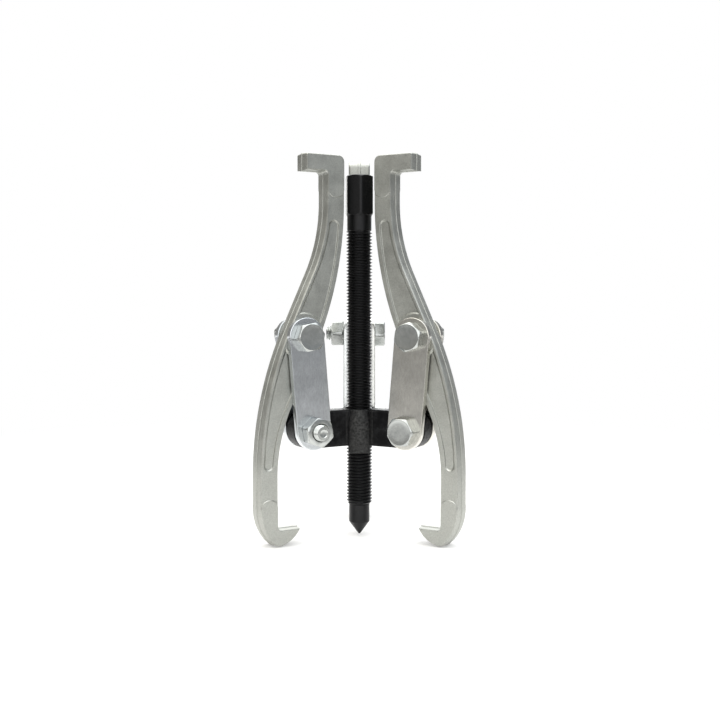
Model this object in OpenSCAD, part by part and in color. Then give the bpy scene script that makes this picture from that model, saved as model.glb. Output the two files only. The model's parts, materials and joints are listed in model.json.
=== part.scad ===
// Three-jaw reversible gear puller, standing on the hooks of its jaws.
// +Z is up along the forcing screw's axis; Z = 0 is the plane the hooks stand on. Millimetres.
// Every arm is drawn in its own radial plane (x = radius, y = height) and then turned to its azimuth.

/* [Forcing screw] */
// Major diameter of the screw thread
thread_d = 10; // [8:0.5:12]
// Minor diameter of the screw thread
thread_root_d = 8.5; // [7:0.1:9]
// Thread pitch
thread_pitch = 1.25; // [1:0.25:1.75]
// Length of the threaded part
thread_l = 105; // [95:1:126]
// Diameter of the plain neck under the drive head
neck_d = 9.5; // [8:0.1:9.9]
// Length of the plain neck
neck_l = 6.3; // [4:0.1:10]
// Across flats of the hexagonal drive head
drive_af = 10; // [8:0.5:12]
// Height of the drive head
drive_h = 15.1; // [10:0.1:20]
// Turn of the drive head about the screw's axis
drive_turn = 37.5; // [0:0.5:60]

/* [Live centre point] */
// Diameter of the point's plain body
point_d = 8; // [6:0.1:8.4]
// Length of the plain body, above the cone
point_body_l = 7; // [4:0.1:12]
// Length of the cone
point_cone_l = 5; // [3:0.1:8]
// Diameter of the blunt end of the cone
point_blunt_d = 0.8; // [0.4:0.1:2]
// Height of the point's tip above the standing plane
point_lift = 0.3; // [0.1:0.1:5]
// Diameter of the spigot that turns inside the screw
spigot_d = 5; // [3:0.1:6]
// Length of the spigot
spigot_l = 8; // [4:0.5:14]

/* [Yoke] */
// Radius from the screw's axis to the lower pivots
yoke_pivot_r = 22.7; // [19:0.1:28]
// Height of the lower pivots
yoke_pivot_h = 42.4; // [38:0.1:52]
// Height of a yoke arm, which is also the width of its round end
yoke_arm_w = 14; // [12:0.1:17]
// Diameter of the boss around the screw
hub_d = 16.2; // [15:0.1:20]
// How far the boss's front lobe hangs below the arms
lobe_drop = 2.8; // [1:0.1:5]
// Width of the front lobe
lobe_w = 7.6; // [6:0.1:9]

/* [Links] */
// Distance between a link's two holes
link_l = 35.3; // [29:0.1:43]
// Width of a link
link_w = 14.2; // [12:0.1:17]
// Thickness of a link
link_t = 2.5; // [1.5:0.1:4]
// Lean of the links away from the screw
link_lean = 5; // [2:0.5:9]

/* [Jaws] */
// Thickness of a jaw and of a yoke arm, between the links
jaw_t = 7.7; // [6:0.1:9.5]
// Thickness of the pads at the two ends of a jaw
pad_t = 8.3; // [6:0.1:10]
// Overall height of a jaw
jaw_h = 145.8; // [135:0.1:175]
// Width of a jaw across its pivot
jaw_pivot_w = 14.8; // [12:0.1:17]
// Slope of a jaw's middle stretch
jaw_lean = 25; // [20:0.5:30]
// Gap between the drive head's corners and the top of a jaw
jaw_screw_gap = 2.5; // [1.5:0.1:5]
// Width of the top of a jaw's shank
jaw_top_w = 7.9; // [6:0.1:10]
// Width of the bottom of a jaw's shank
jaw_bottom_w = 7.7; // [6:0.1:9.5]
// Radius from the screw's axis to the inner face of a jaw, above its hook
jaw_inner_r = 36.2; // [32:0.1:42]
// Height of the top bend's upper end
top_bend_h = 128; // [122:0.5:132]
// Height of the bottom bend's lower end
bottom_bend_h = 26; // [20:0.5:32]
// Height of the hook's flat face
hook_h = 6.6; // [5:0.1:9]
// Radius from the screw's axis to the tip of the hook
hook_tip_r = 27; // [24.5:0.1:30]
// Height of the outward foot at the top
foot_h = 6.9; // [5:0.1:9]
// Radius from the screw's axis to the end of the foot
foot_end_r = 25; // [21:0.1:30]

/* [Jaw relief] */
// Depth of the channels and of the step round the pads
channel_depth = 0.6; // [0.2:0.1:1.2]
// Width of the rim on a channel's outer side
outer_rim_w = 1.5; // [1:0.1:2.5]
// Width of the rim on a channel's inner side
inner_rim_w = 2.3; // [1.5:0.1:3]
// Height of the upper channel's upper end
channel_top_h = 119; // [112:0.5:123]
// Height of the lower channel's lower end
channel_bottom_h = 30.5; // [27:0.5:36]
// Distance that both channels keep from the upper pivot
channel_pivot_gap = 8.4; // [8:0.1:12]
// Height of the top pad's round lower end
top_pad_h = 129.8; // [127:0.1:134]
// Height of the bottom pad's round upper end
bottom_pad_h = 17.6; // [16:0.1:22]

/* [Pivot bolts] */
// Diameter of the bolts
bolt_d = 6; // [5:0.5:7]
// Length of a bolt under its head
bolt_l = 20; // [19:0.5:24]
// Across flats of the bolt heads and nuts
bolt_af = 10; // [8:0.5:12]
// Height of a bolt head
head_h = 4; // [3:0.1:5]
// Height of a nut
nut_h = 5; // [3:0.1:5]

/* [Fits] */
// Radial clearance of the screw in the yoke
screw_gap = 0.05; // [0.02:0.01:0.1]
// Radial clearance of the bolts in the links, the jaws and the yoke
pivot_gap = 0.05; // [0.02:0.01:0.1]
// Side clearance between the links and what they hold, and under the upper bolts and nuts
side_gap = 0.05; // [0.02:0.01:0.1]
// Radial clearance of a nut on its bolt
nut_gap = 0.02; // [0.01:0.01:0.05]
// Radial clearance of the point's spigot, and its play along the axis
spigot_gap = 0.05; // [0.02:0.01:0.1]

/* [Hidden] */
$fn = 64;

// Azimuths of the three arms; the side of each arm that faces its azimuth + 90 degrees is its plus side
az_left = -150;
az_right = -30;
az_rear = 90;

// Pivots, as [radius, height]
yoke_pivot = [yoke_pivot_r, yoke_pivot_h];
jaw_pivot = yoke_pivot + link_l * [sin(link_lean), cos(link_lean)];

// Levels along the screw, and the play behind the point's spigot
cone_top_z = point_lift + point_cone_l;
point_top_z = cone_top_z + point_body_l;
thread_z = point_top_z + spigot_gap;
neck_z = thread_z + thread_l;
drive_z = neck_z + neck_l;
spigot_end_gap = 0.5;

// Across the joint, from its middle plane outwards
link_in_y = jaw_t / 2 + side_gap;
link_out_y = link_in_y + link_t;
seat_y = link_out_y + side_gap;

// The two edges of a jaw: [top radius, radius at the pivot, bottom radius]
drive_corner_r = drive_af / 2 / cos(30);
top_inner_r = drive_corner_r + jaw_screw_gap;
inner_edge = [top_inner_r, jaw_pivot[0] - jaw_pivot_w / 2, jaw_inner_r];
outer_edge = [top_inner_r + jaw_top_w, jaw_pivot[0] + jaw_pivot_w / 2, jaw_inner_r + jaw_bottom_w];
pad_corner_r = 2.8;
foot_corner_r = 1;
root_r = 1;

// The hook's round underside: a long heel, a tight toe, and a nose that starts square to the toe's
// end and reaches the tip
heel_r = 20;
heel_a = 40;
toe_r = 4.5;
toe_a = 105;
heel_c = [outer_edge[2] - heel_r, toe_r + (heel_r - toe_r) * sin(heel_a)];
toe_c = heel_c + (heel_r - toe_r) * [cos(heel_a), -sin(heel_a)];
toe_way = [cos(toe_a), -sin(toe_a)];
tip = [hook_tip_r, hook_h];
toe_to_tip = tip - toe_c - toe_r * toe_way;
nose_r = -(toe_to_tip * toe_to_tip) / (2 * toe_to_tip * toe_way);
nose_c = toe_c + (toe_r - nose_r) * toe_way;
nose_a = -atan2(tip[1] - nose_c[1], tip[0] - nose_c[0]);

// Share of the flats' half width where the turned corners of a head or nut start
corner_turn = 0.95;
// How far the pads' round borders reach past the sides of the shank
border_over = 0.3;
// Height between the points of a bent edge
edge_step = 4;
// How far cutting shapes run past what they cut
over = 1;

// Points along an arc; first = 1 leaves out the point that the outline is already on
function arc(c, r, from, to, steps, first = 0) =
    [for (i = [first:steps]) let (a = from + (to - from) * i / steps) c + r * [cos(a), sin(a)]];

// Radius of the bend that leaves the vertical and meets the sloping middle, over a rise and a run
function bend_r(rise, run) = (rise * tan(jaw_lean) - run) / (1 / cos(jaw_lean) - 1);

// Radius of an edge at height h: vertical, bend, slope through the pivot, bend, vertical
function edge_at(e, h) =
    let (upper = bend_r(top_bend_h - jaw_pivot[1], e[1] - e[0]),
         lower = bend_r(jaw_pivot[1] - bottom_bend_h, e[2] - e[1]))
    h >= top_bend_h ? e[0]
    : h <= bottom_bend_h ? e[2]
    : h >= top_bend_h - upper * sin(jaw_lean) ? e[0] + upper - sqrt(upper * upper - pow(top_bend_h - h, 2))
    : h <= bottom_bend_h + lower * sin(jaw_lean) ? e[2] - lower + sqrt(lower * lower - pow(h - bottom_bend_h, 2))
    : e[1] + (jaw_pivot[1] - h) * tan(jaw_lean);

// Points up an edge between two heights, shifted sideways
function edge_run(e, from, to, shift = 0) =
    let (steps = ceil(abs(to - from) / edge_step))
    [for (i = [0:steps]) let (h = from + (to - from) * i / steps) [edge_at(e, h) + shift, h]];

module jaw_outline() {
    foot_low = jaw_h - foot_h;
    polygon(concat(
        arc([inner_edge[2] - root_r, hook_h + root_r], root_r, -90, 0, 4),
        edge_run(inner_edge, bottom_bend_h, top_bend_h),
        arc([inner_edge[0] + pad_corner_r, jaw_h - pad_corner_r], pad_corner_r, 180, 90, 6),
        arc([foot_end_r - foot_corner_r, jaw_h - foot_corner_r], foot_corner_r, 90, 0, 4),
        [[foot_end_r, foot_low]],
        arc([outer_edge[0] + root_r, foot_low - root_r], root_r, 90, 180, 4),
        edge_run(outer_edge, top_bend_h, bottom_bend_h),
        arc(heel_c, heel_r, 0, -heel_a, 8),
        arc(toe_c, toe_r, -heel_a, -toe_a, 9, 1),
        arc(nose_c, nose_r, -toe_a, -nose_a, 9, 1)));
}

// A channel between two heights, with a round end of radius r at one of them
module channel(low, high, round_low) {
    mid_shift = (inner_rim_w - outer_rim_w) / 2;
    end_h = round_low ? low : high;
    half_w = (edge_at(outer_edge, end_h) - edge_at(inner_edge, end_h) - inner_rim_w - outer_rim_w) / 2;
    mid = (edge_at(outer_edge, end_h) + edge_at(inner_edge, end_h)) / 2 + mid_shift;
    polygon(concat(edge_run(inner_edge, low, high, inner_rim_w),
                   edge_run(outer_edge, high, low, -outer_rim_w)));
    translate([mid, end_h]) circle(r = half_w);
}

module channels() {
    difference() {
        union() {
            channel(jaw_pivot[1], channel_top_h, false);
            channel(channel_bottom_h, jaw_pivot[1], true);
        }
        translate(jaw_pivot) circle(r = channel_pivot_gap);
    }
}

// The two pads: the outline beyond a round border at each end
module pad_outline() {
    top_mid = (inner_edge[0] + outer_edge[0]) / 2;
    bottom_mid = (inner_edge[2] + outer_edge[2]) / 2;
    intersection() {
        jaw_outline();
        union() {
            translate([top_mid, top_pad_h + jaw_top_w / 2]) circle(d = jaw_top_w + 2 * border_over);
            translate([0, top_pad_h + jaw_top_w / 2]) square([foot_end_r + over, jaw_h]);
            translate([bottom_mid, bottom_pad_h - jaw_bottom_w / 2]) circle(d = jaw_bottom_w + 2 * border_over);
            translate([0, -over]) square([outer_edge[2] + over, bottom_pad_h - jaw_bottom_w / 2 + over]);
        }
    }
}

// Stands a radial-plane shape up at an azimuth
module at_azimuth(az) {
    rotate([0, 0, az]) rotate([90, 0, 0]) children();
}

module slab(t) {
    linear_extrude(height = t, center = true) children();
}

// One jaw: shank, raised end pads, sunk channels on both faces and the pivot hole
module jaw(az) {
    color([0.62, 0.62, 0.59])
    at_azimuth(az)
    difference() {
        union() {
            slab(jaw_t) jaw_outline();
            slab(pad_t) pad_outline();
        }
        for (side = [-1, 1])
            translate([0, 0, side * jaw_t / 2])
                slab(2 * channel_depth) channels();
        translate([jaw_pivot[0], jaw_pivot[1], -pad_t])
            cylinder(d = bolt_d + 2 * pivot_gap, h = 2 * pad_t);
    }
}

// One flat link with round ends; side is +1 for the arm's plus side
module link(az, side) {
    color([0.74, 0.76, 0.78])
    at_azimuth(az)
    translate([0, 0, -side * (link_in_y + link_t / 2)])
    difference() {
        slab(link_t)
            hull()
                for (p = [yoke_pivot, jaw_pivot])
                    translate(p) circle(d = link_w);
        for (p = [yoke_pivot, jaw_pivot])
            translate([p[0], p[1], -link_t])
                cylinder(d = bolt_d + 2 * pivot_gap, h = 2 * link_t);
    }
}

// Hexagonal prism from z = 0 to h with its corners turned down at the chosen ends
module hex_prism(af, h, top = true, bottom = true) {
    corner_r = af / 2 / cos(30);
    face_r = af / 2 * corner_turn;
    drop = (corner_r + over - face_r) * tan(30);
    intersection() {
        cylinder(r = corner_r, h = h, $fn = 6);
        rotate_extrude()
            polygon(concat([[0, 0]],
                           bottom ? [[face_r, 0], [corner_r + over, drop]] : [[corner_r + over, 0]],
                           top ? [[corner_r + over, h - drop], [face_r, h]] : [[corner_r + over, h]],
                           [[0, h]]));
    }
}

// Puts a fastener at a pivot on one side of an arm, with its own +Z pointing outwards
module on_side(az, pivot, side, seat) {
    at_azimuth(az)
    translate([pivot[0], pivot[1], 0])
    rotate([side > 0 ? 180 : 0, 0, 0])
    translate([0, 0, seat])
    children();
}

// Bolt with its head outside the link on the given side
module bolt(az, pivot, side, seat, turn) {
    tip_chamfer = 0.7;
    color([0.72, 0.74, 0.75])
    on_side(az, pivot, side, seat) {
        rotate(turn) hex_prism(bolt_af, head_h, top = true, bottom = false);
        rotate_extrude()
            polygon([[0, over], [bolt_d / 2, over], [bolt_d / 2, tip_chamfer - bolt_l],
                     [bolt_d / 2 - tip_chamfer, -bolt_l], [0, -bolt_l]]);
    }
}

module nut(az, pivot, side, seat, turn) {
    color([0.78, 0.8, 0.8])
    on_side(az, pivot, side, seat)
    difference() {
        rotate(turn) hex_prism(bolt_af, nut_h);
        translate([0, 0, -over])
            cylinder(d = bolt_d + 2 * nut_gap, h = nut_h + 2 * over);
    }
}

// Spider: three arms with round ends and cross holes, and a boss with a through bore and a lobe below
// its front
module yoke() {
    arm_low = yoke_pivot_h - yoke_arm_w / 2;
    arm_top = yoke_pivot_h + yoke_arm_w / 2;
    color([0.13, 0.13, 0.14])
    difference() {
        union() {
            for (az = [az_left, az_right, az_rear])
                at_azimuth(az)
                slab(jaw_t) {
                    translate([0, arm_low]) square([yoke_pivot_r, yoke_arm_w]);
                    translate(yoke_pivot) circle(d = yoke_arm_w);
                }
            translate([0, 0, arm_low - lobe_drop])
                cylinder(d = hub_d, h = yoke_arm_w + lobe_drop);
        }
        translate([0, 0, arm_low - lobe_drop - over]) {
            translate([-hub_d, 0, 0]) cube([2 * hub_d, hub_d, lobe_drop + over]);
            for (x = [-lobe_w / 2 - hub_d, lobe_w / 2])
                translate([x, -hub_d, 0]) cube([hub_d, 2 * hub_d, lobe_drop + over]);
        }
        for (az = [az_left, az_right, az_rear])
            at_azimuth(az)
                translate([yoke_pivot_r, yoke_pivot_h, -pad_t])
                cylinder(d = bolt_d + 2 * pivot_gap, h = 2 * pad_t);
        translate([0, 0, arm_low - lobe_drop - over])
            cylinder(d = thread_d + 2 * screw_gap, h = yoke_arm_w + lobe_drop + 2 * over);
    }
}

// Forcing screw: ridged thread, plain neck, hexagonal drive head and a blind bore for the point
module forcing_screw() {
    turns = floor(thread_l / thread_pitch);
    valley_r = thread_root_d / 2;
    crest_r = thread_d / 2;
    crest = thread_pitch / 8;
    color([0.12, 0.12, 0.13])
    difference() {
        union() {
            rotate_extrude()
                polygon(concat(
                    [[0, thread_z]],
                    [for (i = [0:turns - 1], k = [0:2])
                        let (z = thread_z + i * thread_pitch)
                        k == 0 ? [valley_r, z]
                        : [crest_r, z + (thread_pitch - crest) / 2 + (k - 1) * crest]],
                    [[valley_r, thread_z + turns * thread_pitch], [neck_d / 2, neck_z],
                     [neck_d / 2, drive_z + over], [0, drive_z + over]]));
            translate([0, 0, drive_z]) rotate(drive_turn) hex_prism(drive_af, drive_h);
        }
        translate([0, 0, thread_z - over])
            cylinder(d = spigot_d + 2 * spigot_gap, h = over + spigot_l + spigot_end_gap);
    }
}

// Hardened point that turns on its spigot inside the screw's end
module screw_point() {
    color([0.16, 0.16, 0.17])
    rotate_extrude()
        polygon([[0, point_lift], [point_blunt_d / 2, point_lift], [point_d / 2, cone_top_z],
                 [point_d / 2, point_top_z], [spigot_d / 2, point_top_z],
                 [spigot_d / 2, point_top_z + spigot_l], [0, point_top_z + spigot_l]]);
}

// The links carry the lower bolts; the upper bolts turn in the links, with a side gap
module upper_bolt(az, side, turn) { bolt(az, jaw_pivot, side, seat_y, turn); }
module upper_nut(az, side, turn) { nut(az, jaw_pivot, side, seat_y, turn); }
module lower_bolt(az, side, turn) { bolt(az, yoke_pivot, side, link_out_y, turn); }
module lower_nut(az, side, turn) { nut(az, yoke_pivot, side, link_out_y, turn); }

yoke();
forcing_screw();
screw_point();
jaw(az_left);  // jaw_left
link(az_left, 1);  // link_left_front
link(az_left, -1);  // link_left_back
upper_bolt(az_left, 1, 10);  // upper_bolt_left
upper_nut(az_left, -1, 20);  // upper_nut_left
lower_bolt(az_left, -1, 5);  // lower_bolt_left
lower_nut(az_left, 1, 41);  // lower_nut_left
jaw(az_right);  // jaw_right
link(az_right, -1);  // link_right_front
link(az_right, 1);  // link_right_back
upper_bolt(az_right, -1, 19);  // upper_bolt_right
upper_nut(az_right, 1, 35);  // upper_nut_right
lower_bolt(az_right, -1, 0);  // lower_bolt_right
lower_nut(az_right, 1, 15);  // lower_nut_right
jaw(az_rear);  // jaw_rear
link(az_rear, 1);  // link_rear_left
link(az_rear, -1);  // link_rear_right
upper_bolt(az_rear, -1, 12);  // upper_bolt_rear
upper_nut(az_rear, 1, 0);  // upper_nut_rear
lower_bolt(az_rear, -1, 25);  // lower_bolt_rear
lower_nut(az_rear, 1, 50);  // lower_nut_rear
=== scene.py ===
"""Looks of a three-jaw reversible gear puller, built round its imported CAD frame.

Every piece is modelled in millimetres where its own shape is simplest, and is then placed in the frame,
in metres, by one matrix. An arm's shapes are drawn in its radial plane: x is the radius from the
screw's axis, y the height and z the way across the arm.
"""
import json
import math

import bmesh
import bpy
from mathutils import Matrix, Vector


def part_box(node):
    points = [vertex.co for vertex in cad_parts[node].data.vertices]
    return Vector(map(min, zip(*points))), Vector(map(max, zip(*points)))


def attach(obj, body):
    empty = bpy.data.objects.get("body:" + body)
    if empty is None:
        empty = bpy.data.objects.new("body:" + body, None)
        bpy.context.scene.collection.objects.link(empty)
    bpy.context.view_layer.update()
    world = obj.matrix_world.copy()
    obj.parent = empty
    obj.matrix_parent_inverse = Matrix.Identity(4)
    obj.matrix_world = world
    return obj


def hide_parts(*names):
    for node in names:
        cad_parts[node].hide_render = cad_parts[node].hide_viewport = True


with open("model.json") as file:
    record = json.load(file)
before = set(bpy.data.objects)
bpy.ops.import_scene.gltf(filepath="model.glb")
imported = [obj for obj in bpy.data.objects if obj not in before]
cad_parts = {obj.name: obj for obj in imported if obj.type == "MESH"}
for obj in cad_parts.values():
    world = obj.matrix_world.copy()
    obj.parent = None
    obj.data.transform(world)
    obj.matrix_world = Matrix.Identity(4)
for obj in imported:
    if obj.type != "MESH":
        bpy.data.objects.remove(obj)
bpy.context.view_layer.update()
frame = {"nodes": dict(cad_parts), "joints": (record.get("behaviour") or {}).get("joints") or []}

MM = 0.001
JOINTS = {joint["name"]: joint for joint in frame["joints"]}

# ---------------------------------------------------------------- sizes, in millimetres

ARMS = {"left": ("front", "back"), "right": ("front", "back"), "rear": ("left", "right")}

# Jaw: the same outline as the CAD's, drawn from the same few dimensions
JAW_LEAN = math.radians(25)
PIVOT_WIDTH = 14.8
SHANK_TOP_WIDTH = 7.9
SHANK_BOTTOM_WIDTH = 7.7
TOP_BEND_H = 128
BOTTOM_BEND_H = 26
HOOK_H = 6.6
HOOK_TIP_R = 27
FOOT_H = 6.9
FOOT_END_R = 25
ROOT_R = 1
FOOT_CORNER_R = 1
PAD_CORNER_R = 2.8
HEEL_R = 20
HEEL_TURN = math.radians(40)
TOE_R = 4.5
TOE_TURN = math.radians(105)
SHANK_THICKNESS = 7.7
TOP_PAD_H = 129.8
BOTTOM_PAD_H = 17.6
# How far a pad's round border reaches past the pad's centre, in its middle and where it ends at the sides
PAD_REACH = (4.4, 1.75)
PAD_BORDER_STEPS = 16
# The border's lines, from the shank up: (run inwards, share of the step) of each
PAD_STEP = [(0, 0), (0.12, 0.06), (0.38, 0.94), (0.5, 1)]
CHANNEL_TOP_H = 119
CHANNEL_BOTTOM_H = 30.5
CHANNEL_PIVOT_GAP = 8.4
OUTER_RIM = 1.5
INNER_RIM = 2.3
EDGE_STEP = 2
CHANNEL_CORNER_CLEAR = 1.4
# A channel's corners are found by halving the stretch from this far off the pivot, this many times
CORNER_SEARCH = 14
HALVINGS = 40

# How a jaw's narrow sides rise from the parting line to the flat face: (run inwards, rise) of each step
FORGED_SIDE = [(0, 0.4), (0.05, 0.06), (0.12, 0.05), (0.03, 0.09), (0.13, 2.52), (0.05, 0.3), (0.11, 0.22),
               (0.17, 0.21)]
# How a channel falls from the face to its floor: (run in at its inner side, at its outer side, fall)
CHANNEL_WALL = [(0, 0, 0), (0.08, 0.06, 0.02), (0.16, 0.16, 0.1), (0.34, 0.68, 0.52), (0.44, 0.8, 0.59),
                (0.62, 0.95, 0.62)]

# The pivot holes of the jaws, the links and the yoke
HOLE_R = 3.05
HOLE_STEPS = 40

# Links, with how their sides rise from the middle to the flat face: (run inwards, rise) of each step
LINK_WIDTH = 14.2
LINK_SIDE = [(0, 0.95), (0.05, 0.18), (0.13, 0.09), (0.2, 0.03)]

# Bolts and nuts
BOLT_R = 3
BOLT_AF = 10
HEAD_H = 4
NUT_H = 5
BOLT_LENGTH = 20
BOLT_PITCH = 1.0
BOLT_ROOT_R = 2.45
BOLT_THREAD = 11
BOLT_TIP = 0.45
BOLT_RUN_OUT = 0.4
# A bolt's threaded end, from its edge to its middle: (radius, depth)
BOLT_END = [(1.6, 0.01), (1.4, 0.25), (1.1, 0.33), (0.5, 0.36)]
# The dish in a bolt's head, from the turned corners to its middle: (run inwards, depth)
HEAD_DISH = [(0.25, 0.01), (0.45, 0.03), (0.8, 0.08), (1.6, 0.11), (2.6, 0.13), (4.3, 0.14)]
# A nut's countersunk bore, from its face inwards: (clearance round the bolt, depth)
NUT_BORE = [(0.45, 0.02), (0.1, 0.35), (0.02, 0.45)]
# Rings in one plane join across the disc and not to each other, so such rings differ by this level
RING_LIFT = 0.02

# Hexagons: the share of their width that their corners are turned down to, and their broken edges
CORNER_TURN = 0.95
CORNER_SLOPE = math.tan(math.radians(30))
CORNER_ROUND = 0.15
EDGE_BREAK_H = 0.1
TURNED_EDGE_BREAK = 0.07
SQUARE_EDGE_BREAK = 0.08
HEX_STEPS = 72
# Turn of each hexagon about its own axis, in degrees
TURNS = {
    "upper_bolt_left": 10, "upper_nut_left": 20, "lower_bolt_left": 5, "lower_nut_left": 41,
    "upper_bolt_right": 19, "upper_nut_right": 35, "lower_bolt_right": 0, "lower_nut_right": 15,
    "upper_bolt_rear": 12, "upper_nut_rear": 0, "lower_bolt_rear": 25, "lower_nut_rear": 50,
}

# Forcing screw and point
SCREW_R = 5
SCREW_ROOT_R = 4.25
SCREW_PITCH = 1.25
THREAD_LENGTH = 105
NECK_R = 4.75
NECK_LENGTH = 6.3
DRIVE_AF = 10
DRIVE_TURN = 37.5
POINT_R = 4
POINT_CONE = 5
POINT_BODY = 7
POINT_BLUNT_R = 0.4
POINT_BLUNT_H = 0.12
POINT_CHAMFER = 0.25
# The edge between the cone and the body is eased: from this far below it, by this run, to this far above
CONE_EDGE_LOW = 0.2
CONE_EDGE_RUN = 0.03
CONE_EDGE_HIGH = 0.15
SPIGOT_R = 2.5
SPIGOT_GAP = 0.05
SPIGOT_END_GAP = 0.5
SPIGOT_CHAMFER = 0.4
# The screw's lower end is turned down to a cone: run inwards and height
SCREW_TIP = (0.7, 0.8)
# The neck, above the thread and below the drive head: (run inwards, distance)
NECK_START = [(0.12, 0.35), (0, 0.55)]
NECK_FLARE = [(0, 0.5), (-0.12, 0.15), (-0.25, 0)]
# The drive head's top, from the turned corners to its middle: (run inwards, depth)
DRIVE_DISH = [(0.3, 0.01), (0.7, 0.06), (2.75, 0.09)]
# The point's bore in the screw: its chamfer, and the drill's point that it ends in
BORE_CHAMFER = 0.3
DRILL_POINT_R = 1
DRILL_POINT_H = 1.2

# Yoke
YOKE_ARM_WIDTH = 14
YOKE_ARM_THICKNESS = 7.7
HUB_R = 7.6
HUB_FILLET_R = 0.8
POST_R = 8.08
POST_HALF_WIDTH = 4.1
POST_EDGE_R = 0.5
YOKE_EDGE_R = 1.3
YOKE_END_CORNER_R = 1.2
BORE_R = 5.05
COUNTERSINK = 0.5
CUT_PAST = 0.8
# The boss is drawn in by this much at its top, from this far above the arms' middle
HUB_TAPER = 0.8
HUB_TAPER_START = 2.5
# The post in front of the boss: (distance, run inwards) up from its foot and down from its top
POST_FOOT = [(0, 0.7), (0.12, 0.38), (0.35, 0.14), (0.75, 0), (5, 0)]
POST_TOP = [(7, 0), (4.6, 0.02), (3.6, 0.12), (2.7, 0.35), (1.7, 0.52), (0.7, 0.62), (0.25, 0.8), (0.05, 1.1)]


# ---------------------------------------------------------------- the frame, in millimetres

def pivot(joint_name):
    """(azimuth, radius, height) of a joint on an arm."""
    x, y, z = (value / MM for value in JOINTS[joint_name]["pos_m"])
    return math.atan2(y, x), math.hypot(x, y), z


def levels(node):
    """Lowest and highest level of a CAD node."""
    low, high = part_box(node)
    return low.z / MM, high.z / MM


def across(node, azimuth):
    """Where a CAD node starts and ends across its arm, along the arm's z."""
    way = Vector((math.sin(azimuth), -math.cos(azimuth), 0))
    reach = [vertex.co.dot(way) / MM for vertex in frame["nodes"][node].data.vertices]
    return min(reach), max(reach)


def arm_matrix(azimuth):
    """From an arm's plane, in millimetres, to the frame, in metres."""
    c, s = math.cos(azimuth), math.sin(azimuth)
    return Matrix(((c, 0, s, 0), (s, 0, -c, 0), (0, 1, 0, 0), (0, 0, 0, 1))) @ Matrix.Scale(MM, 4)


JAW_LOW = Vector(pivot("arm_swing_rear")[1:])
JAW_PIVOT = Vector(pivot("jaw_tilt_rear")[1:])
jaw_box_low, jaw_box_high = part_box("jaw_rear")
JAW_H = jaw_box_high.z / MM
PAD_THICKNESS = (jaw_box_high.x - jaw_box_low.x) / MM
JAW_OUTER_R = jaw_box_high.y / MM
JAW_TOP_R = jaw_box_low.y / MM
INNER_EDGE = (JAW_TOP_R, JAW_PIVOT.x - PIVOT_WIDTH / 2, JAW_OUTER_R - SHANK_BOTTOM_WIDTH)
OUTER_EDGE = (JAW_TOP_R + SHANK_TOP_WIDTH, JAW_PIVOT.x + PIVOT_WIDTH / 2, JAW_OUTER_R)


# ---------------------------------------------------------------- mesh helpers

SHARP_ANGLE = math.radians(32)
MERGE_GAP = 0.001
# Corners this near to a level count as being on it
LEVEL_SLACK = 0.01


def bare_object(name, bm):
    """An object from a bmesh, at the origin."""
    mesh = bpy.data.meshes.new(name)
    bm.to_mesh(mesh)
    bm.free()
    piece = bpy.data.objects.new(name, mesh)
    bpy.context.scene.collection.objects.link(piece)
    return piece


def finish_piece(node, bm, matrix, material, body):
    """Turns a bmesh into a piece that rides on a body and stands for a CAD node."""
    bmesh.ops.remove_doubles(bm, verts=bm.verts, dist=MERGE_GAP)
    bmesh.ops.recalc_face_normals(bm, faces=bm.faces)
    for face in bm.faces:
        face.smooth = True
    for edge in bm.edges:
        edge.smooth = not (edge.is_manifold and edge.calc_face_angle() > SHARP_ANGLE)
    bm.transform(matrix)
    piece = bare_object(node + "_look", bm)
    piece.data.materials.append(material)
    weighted = piece.modifiers.new("flat faces stay flat", "WEIGHTED_NORMAL")
    weighted.keep_sharp = True
    weighted.weight = 100
    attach(piece, body)
    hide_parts(node)


def arc(centre, radius, start, end, steps, first=0):
    """Points along an arc; first=1 leaves out the point that the outline is already on."""
    points = []
    for step in range(first, steps + 1):
        angle = start + (end - start) * step / steps
        points.append(centre + radius * Vector((math.cos(angle), math.sin(angle))))
    return points


def upright(face):
    """Turns a flat face to look along +z."""
    face.normal_update()
    if face.normal.z < 0:
        face.normal_flip()
    return face


def loop_of(bm, points, z=0.0):
    """A closed loop of edges through flat points at a level."""
    verts = [bm.verts.new((*point, z)) for point in points]
    return [bm.edges.new((verts[i - 1], verts[i])) for i in range(len(verts))]


def pivot_hole(bm, centre, z):
    """A round loop of edges where a pivot hole meets a flat face."""
    return loop_of(bm, arc(centre, HOLE_R, 0, 2 * math.pi, HOLE_STEPS)[:-1], z)


def ring(bm, radius, z, segments=48, turn=0.0):
    """A closed ring; radius and z are numbers, or functions of the angle and of the radius there."""
    points = []
    for step in range(segments):
        angle = turn + 2 * math.pi * step / segments
        r = radius(angle - turn) if callable(radius) else radius
        level = z(r) if callable(z) else z
        points.append((r * math.cos(angle), r * math.sin(angle), level))
    verts = [bm.verts.new(point) for point in points]
    return [bm.edges.new((verts[i - 1], verts[i])) for i in range(segments)]


def skin(bm, rings, closed=False):
    """Joins each ring to the next with a band of faces."""
    for low, high in zip(rings, rings[1:] + rings[:1] if closed else rings[1:]):
        bmesh.ops.bridge_loops(bm, edges=low + high)


def cap(bm, edges):
    """Closes a ring with one face."""
    return bmesh.ops.contextual_create(bm, geom=edges)["faces"]


def skin_capped(bm, rings):
    """Joins rings into a closed solid with a face at each end."""
    skin(bm, rings)
    cap(bm, rings[0])
    cap(bm, rings[-1])


def step_in(bm, faces, profile):
    """Insets faces again and again, each time by a run inwards and a rise."""
    for run, rise in profile:
        bmesh.ops.inset_region(bm, faces=faces, thickness=max(run, 1e-4), depth=rise,
                               use_even_offset=True, use_boundary=True)


# ---------------------------------------------------------------- jaws

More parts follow.
